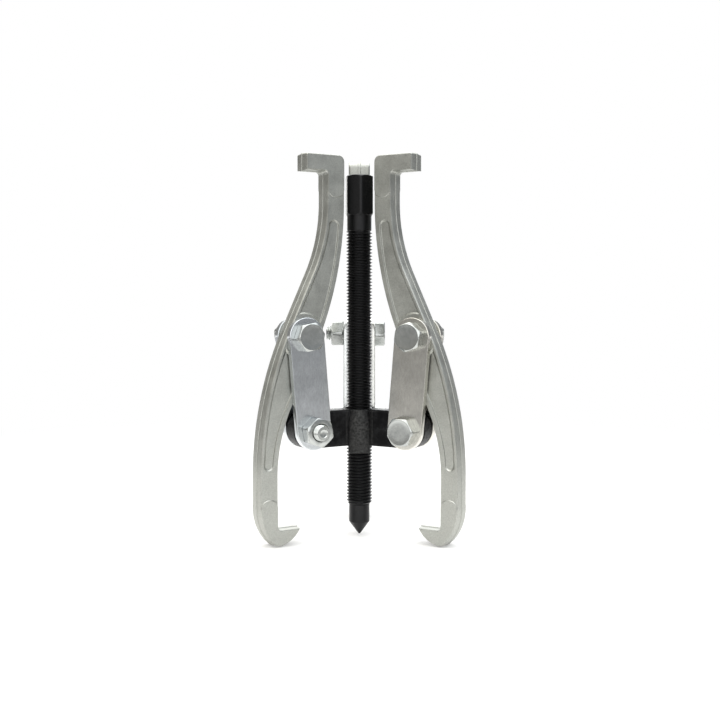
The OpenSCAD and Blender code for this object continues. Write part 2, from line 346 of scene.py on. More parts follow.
def bend_radius(rise, run):
    """Radius of the bend between the vertical and the sloping middle."""
    return (rise * math.tan(JAW_LEAN) - run) / (1 / math.cos(JAW_LEAN) - 1)


def edge_at(edge, height):
    """Radius of a jaw's edge at a height: vertical, bend, slope through the pivot, bend, vertical."""
    top, middle, bottom = edge
    upper = bend_radius(TOP_BEND_H - JAW_PIVOT.y, middle - top)
    lower = bend_radius(JAW_PIVOT.y - BOTTOM_BEND_H, bottom - middle)
    if height >= TOP_BEND_H:
        return top
    if height <= BOTTOM_BEND_H:
        return bottom
    if height >= TOP_BEND_H - upper * math.sin(JAW_LEAN):
        return top + upper - math.sqrt(upper ** 2 - (TOP_BEND_H - height) ** 2)
    if height <= BOTTOM_BEND_H + lower * math.sin(JAW_LEAN):
        return bottom - lower + math.sqrt(lower ** 2 - (height - BOTTOM_BEND_H) ** 2)
    return middle + (JAW_PIVOT.y - height) * math.tan(JAW_LEAN)


def edge_run(edge, start, end, shift=0.0, steps=0):
    """Points along an edge between two heights, shifted sideways."""
    steps = steps or max(1, math.ceil(abs(end - start) / EDGE_STEP))
    heights = [start + (end - start) * step / steps for step in range(steps + 1)]
    return [Vector((edge_at(edge, height) + shift, height)) for height in heights]


FACE_INSET = sum(run for run, rise in FORGED_SIDE)
PAD_ENDS = {
    "top": (Vector(((INNER_EDGE[0] + OUTER_EDGE[0]) / 2, TOP_PAD_H + SHANK_TOP_WIDTH / 2)),
            SHANK_TOP_WIDTH / 2 - FACE_INSET, -1),
    "bottom": (Vector(((INNER_EDGE[2] + OUTER_EDGE[2]) / 2, BOTTOM_PAD_H - SHANK_BOTTOM_WIDTH / 2)),
               SHANK_BOTTOM_WIDTH / 2 - FACE_INSET, 1),
}


def pad_border(end, run):
    """Points of a pad's round border, run inwards from its foot, from the inner to the outer side."""
    centre, half, way = PAD_ENDS[end]
    middle, side = (reach - run for reach in PAD_REACH)
    turns = [math.pi * (1 - step / PAD_BORDER_STEPS) for step in range(PAD_BORDER_STEPS + 1)]
    return [centre + Vector((half * math.cos(turn), way * (side + (middle - side) * math.sin(turn))))
            for turn in turns]


def jaw_outline():
    """The jaw's outline, with corners where the pads' borders reach the flat face's edge."""
    foot_low = JAW_H - FOOT_H
    top_stops = [pad_border("top", run)[0].y for run, share in PAD_STEP]
    bottom_stops = [pad_border("bottom", run)[0].y for run, share in PAD_STEP]
    heel = Vector((OUTER_EDGE[2] - HEEL_R, TOE_R + (HEEL_R - TOE_R) * math.sin(HEEL_TURN)))
    toe = heel + (HEEL_R - TOE_R) * Vector((math.cos(HEEL_TURN), -math.sin(HEEL_TURN)))
    toe_way = Vector((math.cos(TOE_TURN), -math.sin(TOE_TURN)))
    tip = Vector((HOOK_TIP_R, HOOK_H))
    toe_to_tip = tip - toe - TOE_R * toe_way
    nose_r = -toe_to_tip.length_squared / (2 * toe_to_tip.dot(toe_way))
    nose = toe + (TOE_R - nose_r) * toe_way
    nose_end = math.atan2(tip.y - nose.y, tip.x - nose.x)
    quarter = math.pi / 2
    inner_stops = [HOOK_H + ROOT_R] + bottom_stops[::-1] + [TOP_BEND_H] + top_stops
    outer_stops = [foot_low - ROOT_R] + top_stops[::-1] + [TOP_BEND_H] + bottom_stops + [heel.y]
    points = arc(Vector((INNER_EDGE[2] - ROOT_R, HOOK_H + ROOT_R)), ROOT_R, -quarter, 0, 6)
    for start, end in zip(inner_stops, inner_stops[1:]):
        points += edge_run(INNER_EDGE, start, end)[1:]
    points += arc(Vector((INNER_EDGE[0] + PAD_CORNER_R, JAW_H - PAD_CORNER_R)),
                  PAD_CORNER_R, math.pi, quarter, 8)
    points += arc(Vector((FOOT_END_R - FOOT_CORNER_R, JAW_H - FOOT_CORNER_R)),
                  FOOT_CORNER_R, quarter, 0, 5)
    points += [Vector((FOOT_END_R, foot_low))]
    points += arc(Vector((OUTER_EDGE[0] + ROOT_R, foot_low - ROOT_R)), ROOT_R, quarter, math.pi, 6)
    for start, end in zip(outer_stops, outer_stops[1:]):
        points += edge_run(OUTER_EDGE, start, end)[1:]
    points += arc(heel, HEEL_R, 0, -HEEL_TURN, 8, first=1)
    points += arc(toe, TOE_R, -HEEL_TURN, -TOE_TURN, 8, first=1)
    points += arc(nose, nose_r, -TOE_TURN, nose_end, 5, first=1)
    return points


def crossing(edge, shift, below, gap):
    """Where a channel's side meets the circle that keeps it clear of the pivot."""
    outside = JAW_PIVOT.y + (-CORNER_SEARCH if below else CORNER_SEARCH)
    inside = JAW_PIVOT.y
    for _ in range(HALVINGS):
        height = (outside + inside) / 2
        point = Vector((edge_at(edge, height) + shift, height))
        if (point - JAW_PIVOT).length > gap:
            outside = height
        else:
            inside = height
    return point


def channel_outline(end_h, way, inner_run, outer_run):
    """A channel's outline: an arc clear of the pivot, two sides, and a round end above or below it."""
    gap = CHANNEL_PIVOT_GAP + (inner_run + outer_run) / 2
    sides = ((INNER_EDGE, INNER_RIM + inner_run), (OUTER_EDGE, -OUTER_RIM - outer_run))
    corners = [crossing(edge, shift, way < 0, gap) for edge, shift in sides]
    steps = math.ceil(abs(end_h - JAW_PIVOT.y) / EDGE_STEP)
    runs = [edge_run(edge, corner.y + way * CHANNEL_CORNER_CLEAR, end_h, shift, steps)
            for (edge, shift), corner in zip(sides, corners)]
    ends = [run[-1] for run in runs]
    angles = [math.atan2(corner.y - JAW_PIVOT.y, corner.x - JAW_PIVOT.x) for corner in corners]
    near = arc(JAW_PIVOT, gap, angles[0], angles[1], 7)
    far = arc((ends[0] + ends[1]) / 2, (ends[1].x - ends[0].x) / 2, 0, way * math.pi, 12)
    return near + runs[1][:-1] + far + runs[0][-2::-1]


def nearest(verts, point):
    """The vertex nearest to a flat point."""
    return min(verts, key=lambda vert: (vert.co.xy - point).length)


def border_chain(bm, rim, points, z):
    """The chain of edges of a pad's round border, between two corners of the flat face's rim."""
    verts = ([nearest(rim, points[0])] + [bm.verts.new((*point, z)) for point in points[1:-1]]
             + [nearest(rim, points[-1])])
    return [bm.edges.new(pair) for pair in zip(verts, verts[1:])]


def forged_jaw():
    """One jaw: shank with channels on both faces, raised pads with round borders, and the pivot hole."""
    bm = bmesh.new()
    face, = cap(bm, loop_of(bm, jaw_outline()))
    step_in(bm, [upright(face)], FORGED_SIDE)
    rim = list(face.verts)
    rim_edges = list(face.edges)
    bmesh.ops.delete(bm, geom=[face], context="FACES_ONLY")
    shank_z = rim[0].co.z
    pad_rise = PAD_THICKNESS / SHANK_THICKNESS - 1
    on_shank = list(rim_edges)
    for end, side in (("top", 1), ("bottom", -1)):
        borders = [pad_border(end, run) for run, share in PAD_STEP]
        stops = [side * border[0].y for border in borders]
        for vert in bm.verts:
            reached = [share for (run, share), stop in zip(PAD_STEP, stops)
                       if side * vert.co.y > stop - LEVEL_SLACK]
            if reached:
                vert.co.z *= 1 + reached[-1] * pad_rise
        chains = [border_chain(bm, rim, border, shank_z * (1 + share * pad_rise))
                  for border, (run, share) in zip(borders, PAD_STEP)]
        for low, high in zip(chains, chains[1:]):
            bmesh.ops.bridge_loops(bm, edges=low + high)
        cap(bm, chains[-1] + [edge for edge in rim_edges
                              if all(side * v.co.y > stops[-1] - LEVEL_SLACK for v in edge.verts)])
        on_shank = chains[0] + [edge for edge in on_shank
                                if all(side * v.co.y < stops[0] + LEVEL_SLACK for v in edge.verts)]
    channels = [[loop_of(bm, channel_outline(end_h, way, inner, outer), shank_z - fall)
                 for inner, outer, fall in CHANNEL_WALL]
                for end_h, way in ((CHANNEL_TOP_H, 1), (CHANNEL_BOTTOM_H, -1))]
    hole = pivot_hole(bm, JAW_PIVOT, shank_z)
    rims = [edge for channel in channels for edge in channel[0]]
    bmesh.ops.triangle_fill(bm, use_beauty=True, edges=on_shank + hole + rims, normal=(0, 0, 1))
    for channel in channels:
        skin(bm, channel)
        cap(bm, channel[-1])
    close_half(bm, hole)
    return bm


def close_half(bm, hole):
    """Takes a hole's wall down to the middle plane and mirrors the half plate to the other side."""
    wall = bmesh.ops.extrude_edge_only(bm, edges=hole)["geom"]
    for vert in wall:
        if isinstance(vert, bmesh.types.BMVert):
            vert.co.z = 0
    bmesh.ops.mirror(bm, geom=bm.verts[:] + bm.edges[:] + bm.faces[:], matrix=Matrix.Identity(4),
                     merge_dist=MERGE_GAP, axis="Z")


# ---------------------------------------------------------------- links

def stamped_link():
    """One flat link: stadium outline, edges rolled over by the stamping, and two holes."""
    bm = bmesh.new()
    away = math.atan2(JAW_PIVOT.y - JAW_LOW.y, JAW_PIVOT.x - JAW_LOW.x)
    quarter = math.pi / 2
    outline = (arc(JAW_PIVOT, LINK_WIDTH / 2, away - quarter, away + quarter, 24)
               + arc(JAW_LOW, LINK_WIDTH / 2, away + quarter, away + 3 * quarter, 24))
    face, = cap(bm, loop_of(bm, outline))
    step_in(bm, [upright(face)], LINK_SIDE)
    rim_edges = list(face.edges)
    z = face.verts[0].co.z
    bmesh.ops.delete(bm, geom=[face], context="FACES_ONLY")
    holes = pivot_hole(bm, JAW_LOW, z) + pivot_hole(bm, JAW_PIVOT, z)
    bmesh.ops.triangle_fill(bm, use_beauty=True, edges=rim_edges + holes, normal=(0, 0, 1))
    close_half(bm, holes)
    return bm


# ---------------------------------------------------------------- hexagons, bolts and nuts

def hexagon(af):
    """Radius of a hexagon's side at an angle, a corner lying at angle 0 and slightly rounded."""
    def radius(angle):
        return min(af / 2 / math.cos(angle % (math.pi / 3) - math.pi / 6),
                   af / 2 / math.cos(math.pi / 6) - CORNER_ROUND)
    return radius


def square_end(bm, af, level):
    """Rings at the square lower end of a hexagon, from its face to its sides."""
    corner = hexagon(af)
    return [ring(bm, lambda angle: corner(angle) - SQUARE_EDGE_BREAK, level, HEX_STEPS),
            ring(bm, corner, level + EDGE_BREAK_H, HEX_STEPS)]


def turned_end(bm, af, level, way, turn=0.0):
    """Rings where a hexagon's corners are turned down to its face, from the face outwards. Way is 1 at a
    hexagon's top and -1 at its bottom."""
    corner = hexagon(af)
    face_r = CORNER_TURN * af / 2
    return [ring(bm, lambda angle: corner(angle) - TURNED_EDGE_BREAK,
                 lambda r: level - way * (r - face_r) * CORNER_SLOPE, HEX_STEPS, turn),
            ring(bm, corner, lambda r: level - way * (EDGE_BREAK_H + (r - face_r) * CORNER_SLOPE),
                 HEX_STEPS, turn)]


def face_ring(bm, af, level, turn=0.0):
    """The ring at the edge of a hexagon's flat face, inside its turned corners."""
    return ring(bm, CORNER_TURN * af / 2, level, HEX_STEPS, turn)


def helix(bm, profile, pitch, low, turns, segments=48):
    """A thread's surface: one pitch of its profile swept round, then repeated up the axis."""
    verts = [bm.verts.new((r, 0, low + z)) for r, z in profile]
    edges = [bm.edges.new(pair) for pair in zip(verts, verts[1:])]
    bmesh.ops.spin(bm, geom=verts + edges, cent=(0, 0, 0), axis=(0, 0, 1), dvec=(0, 0, pitch / segments),
                   angle=2 * math.pi, steps=segments)
    band = bm.verts[:] + bm.edges[:] + bm.faces[:]
    for turn in range(1, turns):
        copy = bmesh.ops.duplicate(bm, geom=band)["geom"]
        bmesh.ops.translate(bm, verts=[part for part in copy if isinstance(part, bmesh.types.BMVert)],
                            vec=(0, 0, turn * pitch))
    bmesh.ops.remove_doubles(bm, verts=bm.verts, dist=0.002)


def cut_level(bm, level, keep_above):
    """Cuts a thread off square at a level and returns the edges left open there."""
    bmesh.ops.bisect_plane(bm, geom=bm.verts[:] + bm.edges[:] + bm.faces[:], plane_co=(0, 0, level),
                           plane_no=(0, 0, 1), clear_outer=not keep_above, clear_inner=keep_above, dist=1e-4)
    return [e for e in bm.edges if e.is_boundary and all(abs(v.co.z - level) < 1e-3 for v in e.verts)]


def turn_down(bm, radius, level, run, height):
    """Turns a thread's lower end down to a cone, by a run inwards at its end and nothing above a height."""
    for vert in bm.verts:
        limit = radius - run * max(0, 1 - (vert.co.z - level) / height)
        reach = vert.co.xy.length
        if reach > limit:
            vert.co.xy *= limit / reach


def thread_profile(root, crest, pitch):
    """One pitch of a 60 degree thread, from root to root, with rounded roots and narrow crests."""
    return [(root, 0), (root + 0.04, 0.11 * pitch), (crest - 0.05, 0.42 * pitch), (crest, 0.46 * pitch),
            (crest, 0.54 * pitch), (crest - 0.05, 0.58 * pitch), (root + 0.04, 0.89 * pitch), (root, pitch)]


def hex_bolt(length):
    """A bolt: head with turned corners and a shallow dish, plain shank and a threaded end."""
    bm = bmesh.new()
    thread_low, thread_high = -length, -length + BOLT_THREAD
    helix(bm, thread_profile(BOLT_ROOT_R, BOLT_R, BOLT_PITCH), BOLT_PITCH,
          thread_low - BOLT_PITCH, math.ceil(BOLT_THREAD / BOLT_PITCH) + 2)
    end = cut_level(bm, thread_low + RING_LIFT, True)
    start = cut_level(bm, thread_high, False)
    turn_down(bm, BOLT_R, thread_low, BOLT_TIP, BOLT_TIP)
    tip = [ring(bm, radius, thread_low + depth) for radius, depth in BOLT_END]
    skin(bm, [end] + tip)
    cap(bm, tip[-1])
    face_r = CORNER_TURN * BOLT_AF / 2
    dish = [ring(bm, face_r - run, HEAD_H - depth, HEX_STEPS) for run, depth in HEAD_DISH]
    shank = [ring(bm, BOLT_R, thread_high + BOLT_RUN_OUT), ring(bm, BOLT_R, 0)]
    head = square_end(bm, BOLT_AF, 0) + turned_end(bm, BOLT_AF, HEAD_H, 1)[::-1]
    skin(bm, [start] + shank + head + [face_ring(bm, BOLT_AF, HEAD_H)] + dish)
    cap(bm, dish[-1])
    return bm


def hex_nut(height):
    """A nut: both faces turned at the corners, with a countersunk bore."""
    bm = bmesh.new()
    down = [(BOLT_R + clearance, height - depth) for clearance, depth in NUT_BORE]
    up = [(BOLT_R + clearance, depth) for clearance, depth in (NUT_BORE[-1], NUT_BORE[0])]
    bore = [ring(bm, radius, level, HEX_STEPS) for radius, level in down + up]
    skin(bm, [face_ring(bm, BOLT_AF, 0)] + turned_end(bm, BOLT_AF, 0, -1)
         + turned_end(bm, BOLT_AF, height, 1)[::-1] + [face_ring(bm, BOLT_AF, height)] + bore, closed=True)
    return bm


# ---------------------------------------------------------------- forcing screw and point

def forcing_screw(low, high, bore_top):
    """The screw, from the thread's lower end up to the top of the drive head, with the point's bore."""
    bm = bmesh.new()
    neck = low + THREAD_LENGTH
    drive = neck + NECK_LENGTH
    helix(bm, thread_profile(SCREW_ROOT_R, SCREW_R, SCREW_PITCH), SCREW_PITCH, low - SCREW_PITCH,
          math.ceil(THREAD_LENGTH / SCREW_PITCH) + 2)
    end = cut_level(bm, low, True)
    start = cut_level(bm, neck, False)
    turn_down(bm, SCREW_R, low, *SCREW_TIP)
    bore_r = SPIGOT_R + SPIGOT_GAP
    bore = [ring(bm, radius, level) for radius, level in (
        (bore_r + BORE_CHAMFER, low + RING_LIFT), (bore_r, low + BORE_CHAMFER), (bore_r, bore_top),
        (DRILL_POINT_R, bore_top + DRILL_POINT_H))]
    skin(bm, [end] + bore)
    cap(bm, bore[-1])
    turn = math.radians(DRIVE_TURN)
    plain = [ring(bm, NECK_R - run, neck + distance) for run, distance in NECK_START]
    plain += [ring(bm, NECK_R - run, drive - distance) for run, distance in NECK_FLARE]
    head = turned_end(bm, DRIVE_AF, drive, -1, turn) + turned_end(bm, DRIVE_AF, high, 1, turn)[::-1]
    face_r = CORNER_TURN * DRIVE_AF / 2
    dish = [ring(bm, face_r - run, high - depth, HEX_STEPS, turn) for run, depth in DRIVE_DISH]
    skin(bm, [start] + plain + head + [face_ring(bm, DRIVE_AF, high, turn)] + dish)
    cap(bm, dish[-1])
    return bm


def centre_point(low, high):
    """The live point: blunt tip, cone, plain body and the spigot above it."""
    bm = bmesh.new()
    cone_top = low + POINT_CONE
    body_top = cone_top + POINT_BODY
    slope = (POINT_R - POINT_BLUNT_R) / POINT_CONE
    skin_capped(bm, [ring(bm, radius, level) for radius, level in (
        (POINT_BLUNT_R / 2, low), (POINT_BLUNT_R, low + POINT_BLUNT_H),
        (POINT_R - CONE_EDGE_LOW * slope, cone_top - CONE_EDGE_LOW), (POINT_R - CONE_EDGE_RUN, cone_top),
        (POINT_R, cone_top + CONE_EDGE_HIGH), (POINT_R, body_top - POINT_CHAMFER),
        (POINT_R - POINT_CHAMFER, body_top), (SPIGOT_R, body_top), (SPIGOT_R, high - SPIGOT_CHAMFER),
        (SPIGOT_R - SPIGOT_CHAMFER, high))])
    return bm


# ---------------------------------------------------------------- yoke

def yoke_plan(arm_end, shrink, hub_r):
    """The yoke's outline seen from above: three arms whose sides run into the boss by fillets."""
    half = YOKE_ARM_THICKNESS / 2 - shrink
    boss = hub_r - shrink
    fillet = HUB_FILLET_R + shrink
    corner = max(0.1, YOKE_END_CORNER_R - shrink)
    end = arm_end - shrink
    reach = math.sqrt((boss + fillet) ** 2 - (half + fillet) ** 2)
    lean = math.atan2(half + fillet, reach)
    quarter = math.pi / 2
    side = arc(Vector((reach, half + fillet)), fillet, lean - math.pi, -quarter, 5)
    side += [Vector((reach + (end - corner - reach) * share, half)) for share in (0.3, 0.6, 0.85)]
    side += arc(Vector((end - corner, half - corner)), corner, quarter, 0, 6)
    arm = [Vector((p.x, -p.y)) for p in side] + side[::-1]
    gap = math.pi / 3 - lean
    arm += arc(Vector((0, 0)), boss, lean, lean + 2 * gap, 6, first=1)[:-1]
    points = []
    for azimuth in YOKE_AZIMUTHS:
        turn = Matrix.Rotation(azimuth, 2)
        points += [turn @ point for point in arm]
    return points


def forged_yoke(middle):
    """The yoke's body: rows of its outline from the arms' undersides up to their tops."""
    bm = bmesh.new()
    half_h = YOKE_ARM_WIDTH / 2
    flat = half_h - YOKE_EDGE_R
    turns = [math.radians(15 * step) for step in range(7)]
    rounding = [(flat + YOKE_EDGE_R * math.sin(turn), YOKE_EDGE_R * (1 - math.cos(turn))) for turn in turns]
    rows = [(-rise, shrink) for rise, shrink in rounding[::-1]]
    rows += [(flat * step / 6, 0) for step in range(-5, 6)] + rounding
    rings = []
    for rise, shrink in rows:
        arm_end = JAW_LOW.x + math.sqrt(max(0, half_h ** 2 - rise ** 2)) + shrink
        hub_r = HUB_R - HUB_TAPER * max(0, (rise - HUB_TAPER_START) / (half_h - HUB_TAPER_START)) ** 2
        rings.append(loop_of(bm, yoke_plan(arm_end, shrink, hub_r), middle + rise))
    skin_capped(bm, rings)
    return bm


def drill(bm, profile, matrix=Matrix.Identity(4)):
    """A closed lathed solid from its (radius, level) profile, for cutting a hole."""
    rings = [ring(bm, radius, level) for radius, level in profile]
    skin_capped(bm, rings)
    verts = {vert for edges in rings for edge in edges for vert in edge.verts}
    bmesh.ops.transform(bm, matrix=matrix, verts=list(verts))


def yoke_holes(low, high):
    """What is cut out of the yoke: the countersunk bore and a cross hole through each arm."""
    bm = bmesh.new()
    mouth = BORE_R + COUNTERSINK + CUT_PAST
    drill(bm, [(mouth, low - CUT_PAST), (BORE_R, low + COUNTERSINK), (BORE_R, high - COUNTERSINK),
               (mouth, high + CUT_PAST)])
    for azimuth in YOKE_AZIMUTHS:
        across_arm = arm_matrix(azimuth) @ Matrix.Translation((*JAW_LOW, 0))
        drill(bm, [(HOLE_R, -YOKE_ARM_THICKNESS), (HOLE_R, YOKE_ARM_THICKNESS)],
              Matrix.Scale(1 / MM, 4) @ across_arm)
    return bm


def post_outline(half, radius):
    """The front post's outline seen from above: a round front, two rounded edges and straight sides."""
    back = Vector((half, -BORE_R))
    centre = Vector((half - POST_EDGE_R, -math.sqrt((radius - POST_EDGE_R) ** 2 - (half - POST_EDGE_R) ** 2)))
    way = math.atan2(centre.y, centre.x)
    side = [back] + arc(centre, POST_EDGE_R, 0, way, 5)
    front = arc(Vector((0, 0)), radius, way, -math.pi - way, 8)[1:-1]
    return side + front + [Vector((-p.x, p.y)) for p in side[::-1]]


def front_post(low, high):
    """The post in front of the boss: drawn in at its top, straight below, and hanging below the arms."""
    bm = bmesh.new()
    rows = [(low + rise, run) for rise, run in POST_FOOT] + [(high - fall, run) for fall, run in POST_TOP]
    skin_capped(bm, [loop_of(bm, post_outline(POST_HALF_WIDTH - run, POST_R - run), level)
                     for level, run in rows])
    return bm


def solid(name, bm):
    """A bare object with its faces turned outwards, for use in a Boolean."""
    bmesh.ops.recalc_face_normals(bm, faces=bm.faces)
    return bare_object(name, bm)


def combine(base, others):
    """The bmesh of a solid after one Boolean with each (operation, solid); the solids are removed."""
    for operation, other in others:
        change = base.modifiers.new(operation, "BOOLEAN")
        change.operation = operation
        change.object = other
        change.solver = "EXACT"
    bpy.context.view_layer.update()
    result = bpy.data.meshes.new_from_object(base.evaluated_get(bpy.context.evaluated_depsgraph_get()))
    bm = bmesh.new()
    bm.from_mesh(result)
    bpy.data.meshes.remove(result)
    for piece in [base] + [other for operation, other in others]:
        mesh = piece.data
        bpy.data.objects.remove(piece)
        bpy.data.meshes.remove(mesh)
    return bm


# ---------------------------------------------------------------- materials

def colour(code):
    """Linear colour of an sRGB hex code."""
    parts = [int(code[i:i + 2], 16) / 255 for i in (0, 2, 4)]
    return (*(c / 12.92 if c <= 0.04045 else ((c + 0.055) / 1.055) ** 2.4 for c in parts), 1)


def connect(tree, node, inputs):
    """Sets a node's inputs. Each is given a value to keep, a socket to link, or a node, whose first output
    is linked."""
    sockets = [socket for socket in node.inputs if socket.enabled]
    for key, value in inputs.items():
        socket = sockets[key] if isinstance(key, int) else next(s for s in sockets if s.name == key)
        if isinstance(value, bpy.types.Node):
            value = next(output for output in value.outputs if output.enabled)
        if isinstance(value, bpy.types.NodeSocket):
            tree.links.new(value, socket)
        else:
            socket.default_value = value


def add(tree, kind, inputs=None, **settings):
    """Adds a node with its settings and its inputs."""
    node = tree.nodes.new(kind)
    for key, value in settings.items():
        setattr(node, key, value)
    connect(tree, node, inputs or {})
    return node


def new_material(name, **surface):
    """A material with its shader set up, and its object coordinates."""
    material = bpy.data.materials.new(name)
    material.use_nodes = True
    tree = material.node_tree
    shader = next(node for node in tree.nodes if node.type == "BSDF_PRINCIPLED")
    connect(tree, shader, {key.replace("_", " "): value for key, value in surface.items()})
    return material, tree, shader, add(tree, "ShaderNodeTexCoord").outputs["Object"]


def forged_steel():
    """Drop-forged steel, shot-blasted and satin plated: the jaws. The blast leaves a fine grain that
    breaks up every reflection, and the plating is a warm grey, a little duller in patches. The grain is
    drawn at 0.45 mm, a few times the shot's dents, so that it shows."""
    material, tree, shader, place = new_material("satin_plated_forged_steel", Metallic=1.0)
    grain = add(tree, "ShaderNodeTexNoise",
                {"Vector": place, "Scale": 1 / (0.45 * MM), "Detail": 2.0, "Roughness": 0.6})
    swell = add(tree, "ShaderNodeTexNoise",
                {"Vector": place, "Scale": 1 / (6 * MM), "Detail": 3.0, "Roughness": 0.55})
    tint = add(tree, "ShaderNodeMix", {"Factor": swell, "A": colour("A2A39D"), "B": colour("BABBB5")},
               data_type="RGBA")
    speck = add(tree, "ShaderNodeMapRange",
                {"Value": grain, "From Min": 0.3, "From Max": 0.75, "To Min": 0.84, "To Max": 1.1})
    toned = add(tree, "ShaderNodeVectorMath", {0: tint, 1: speck}, operation="MULTIPLY")
    rough = add(tree, "ShaderNodeMapRange",
                {"Value": swell, "From Min": 0.3, "From Max": 0.7, "To Min": 0.38, "To Max": 0.5})
    fine = add(tree, "ShaderNodeBump", {"Height": grain, "Distance": 0.05 * MM, "Strength": 0.5})
    wavy = add(tree, "ShaderNodeBump",
               {"Height": swell, "Distance": 0.18 * MM, "Strength": 0.35, "Normal": fine})
    connect(tree, shader, {"Base Color": toned, "Roughness": rough, "Normal": wavy})
    return material


def zinc_sheet():
    """Bright zinc plate on rolled sheet: the links. Smooth, with faint streaks along the rolling
    direction and cloudy patches from the bath. The left links are painted bluish and the right ones
    warmer: a painted reflection of the differently tinted light on each side."""
    material, tree, shader, place = new_material("bright_zinc_sheet", Metallic=1.0)
    along = add(tree, "ShaderNodeVectorMath", {0: place, 1: (1, 1, 0.3)}, operation="MULTIPLY")
    grain = add(tree, "ShaderNodeTexNoise",
                {"Vector": along, "Scale": 1 / (0.5 * MM), "Detail": 3.0, "Roughness": 0.6})
    cloud = add(tree, "ShaderNodeTexNoise",
                {"Vector": place, "Scale": 1 / (7 * MM), "Detail": 5.0, "Roughness": 0.65})
    # Painted reflection: the tint runs from bluish at the left (-x) to warmer at the right, standing in for
    # the tinted light that each side reflects
    sideways = add(tree, "ShaderNodeSeparateXYZ", {"Vector": place}).outputs["X"]
    warm = add(tree, "ShaderNodeMapRange", {"Value": sideways, "From Min": -15 * MM, "From Max": 15 * MM})
    dull = add(tree, "ShaderNodeMix", {"Factor": warm, "A": colour("BDC1C4"), "B": colour("C1BFB8")},
               data_type="RGBA")
    clear = add(tree, "ShaderNodeMix", {"Factor": warm, "A": colour("D5D8DA"), "B": colour("D5D3CC")},
                data_type="RGBA")
    tint = add(tree, "ShaderNodeMix", {"Factor": cloud, "A": dull, "B": clear}, data_type="RGBA")
    speck = add(tree, "ShaderNodeMapRange",
                {"Value": grain, "From Min": 0.3, "From Max": 0.7, "To Min": 0.92, "To Max": 1.06})
    toned = add(tree, "ShaderNodeVectorMath", {0: tint, 1: speck}, operation="MULTIPLY")
    rough = add(tree, "ShaderNodeMapRange",
                {"Value": cloud, "From Min": 0.3, "From Max": 0.7, "To Min": 0.17, "To Max": 0.25})
    fine = add(tree, "ShaderNodeBump", {"Height": grain, "Distance": 0.03 * MM, "Strength": 0.4})
    connect(tree, shader, {"Base Color": toned, "Roughness": rough, "Normal": fine})
    return material


def zinc_fastener():
    """Bright zinc plate on cold-headed bolts and nuts: as glossy as the links, but darker, and with
    small shallow dents from the barrel they were plated in."""
    material, tree, shader, place = new_material("bright_zinc_fastener", Metallic=1.0)
    dents = add(tree, "ShaderNodeTexNoise",
                {"Vector": place, "Scale": 1 / (1.6 * MM), "Detail": 3.0, "Roughness": 0.6})
    tint = add(tree, "ShaderNodeMix", {"Factor": dents, "A": colour("ABAEAC"), "B": colour("C2C4C1")},
               data_type="RGBA")
    rough = add(tree, "ShaderNodeMapRange",
                {"Value": dents, "From Min": 0.3, "From Max": 0.7, "To Min": 0.17, "To Max": 0.27})
    bump = add(tree, "ShaderNodeBump", {"Height": dents, "Distance": 0.04 * MM, "Strength": 0.3})
    connect(tree, shader, {"Base Color": tint, "Roughness": rough, "Normal": bump})
    return material


def black_forging():
    """Black oxide over a rough forging: the yoke. Nearly black, with a dull sheen, fine scale that
    catches light as small specks, and greyer in patches where the oxide has rubbed. The post's front
    face is painted lighter, with lighter specks: partly rubbed oxide and partly a painted sheen and
    glints for the light that face reflects."""
    material, tree, shader, place = new_material("black_oxide_forging", Metallic=0.9, Roughness=0.42)
    scale = add(tree, "ShaderNodeTexNoise",
                {"Vector": place, "Scale": 1 / (0.9 * MM), "Detail": 5.0, "Roughness": 0.7})
    patches = add(tree, "ShaderNodeTexNoise",
                  {"Vector": place, "Scale": 1 / (5 * MM), "Detail": 4.0, "Roughness": 0.65})
    worn = add(tree, "ShaderNodeMapRange", {"Value": patches, "From Min": 0.48, "From Max": 0.75})
    oxide = add(tree, "ShaderNodeMix", {"Factor": worn, "A": colour("151516"), "B": colour("303031")},
                data_type="RGBA")
    # Lighter specks, used only on the post's front face: partly rubbed oxide, partly painted glints
    rubbed_specks_and_glints = add(tree, "ShaderNodeMapRange", {"Value": scale, "From Min": 0.35, "From Max": 0.7})
    bare = add(tree, "ShaderNodeMix", {"Factor": rubbed_specks_and_glints, "A": colour("1E1E1E"), "B": colour("454544")},
               data_type="RGBA")
    depth = add(tree, "ShaderNodeSeparateXYZ", {"Vector": place}).outputs["Y"]
    in_front = add(tree, "ShaderNodeMapRange", {"Value": depth, "From Min": -6.6 * MM, "From Max": -7.6 * MM})
    from_axis = add(tree, "ShaderNodeVectorMath", {0: place, 1: (1, 1, 0)}, operation="MULTIPLY")
    radius = add(tree, "ShaderNodeVectorMath", {0: from_axis}, operation="LENGTH")
    close = add(tree, "ShaderNodeMath", {0: radius, 1: 9 * MM}, operation="LESS_THAN")
    # The post's front face gets the lighter colour: partly rubbed oxide, partly a painted sheen for the light
    # it reflects
    post = add(tree, "ShaderNodeMath", {0: in_front, 1: close}, operation="MULTIPLY")
    tint = add(tree, "ShaderNodeMix", {"Factor": post, "A": oxide, "B": bare}, data_type="RGBA")
    bump = add(tree, "ShaderNodeBump", {"Height": scale, "Distance": 0.4 * MM, "Strength": 0.5})
    connect(tree, shader, {"Base Color": tint, "Normal": bump})
    return material


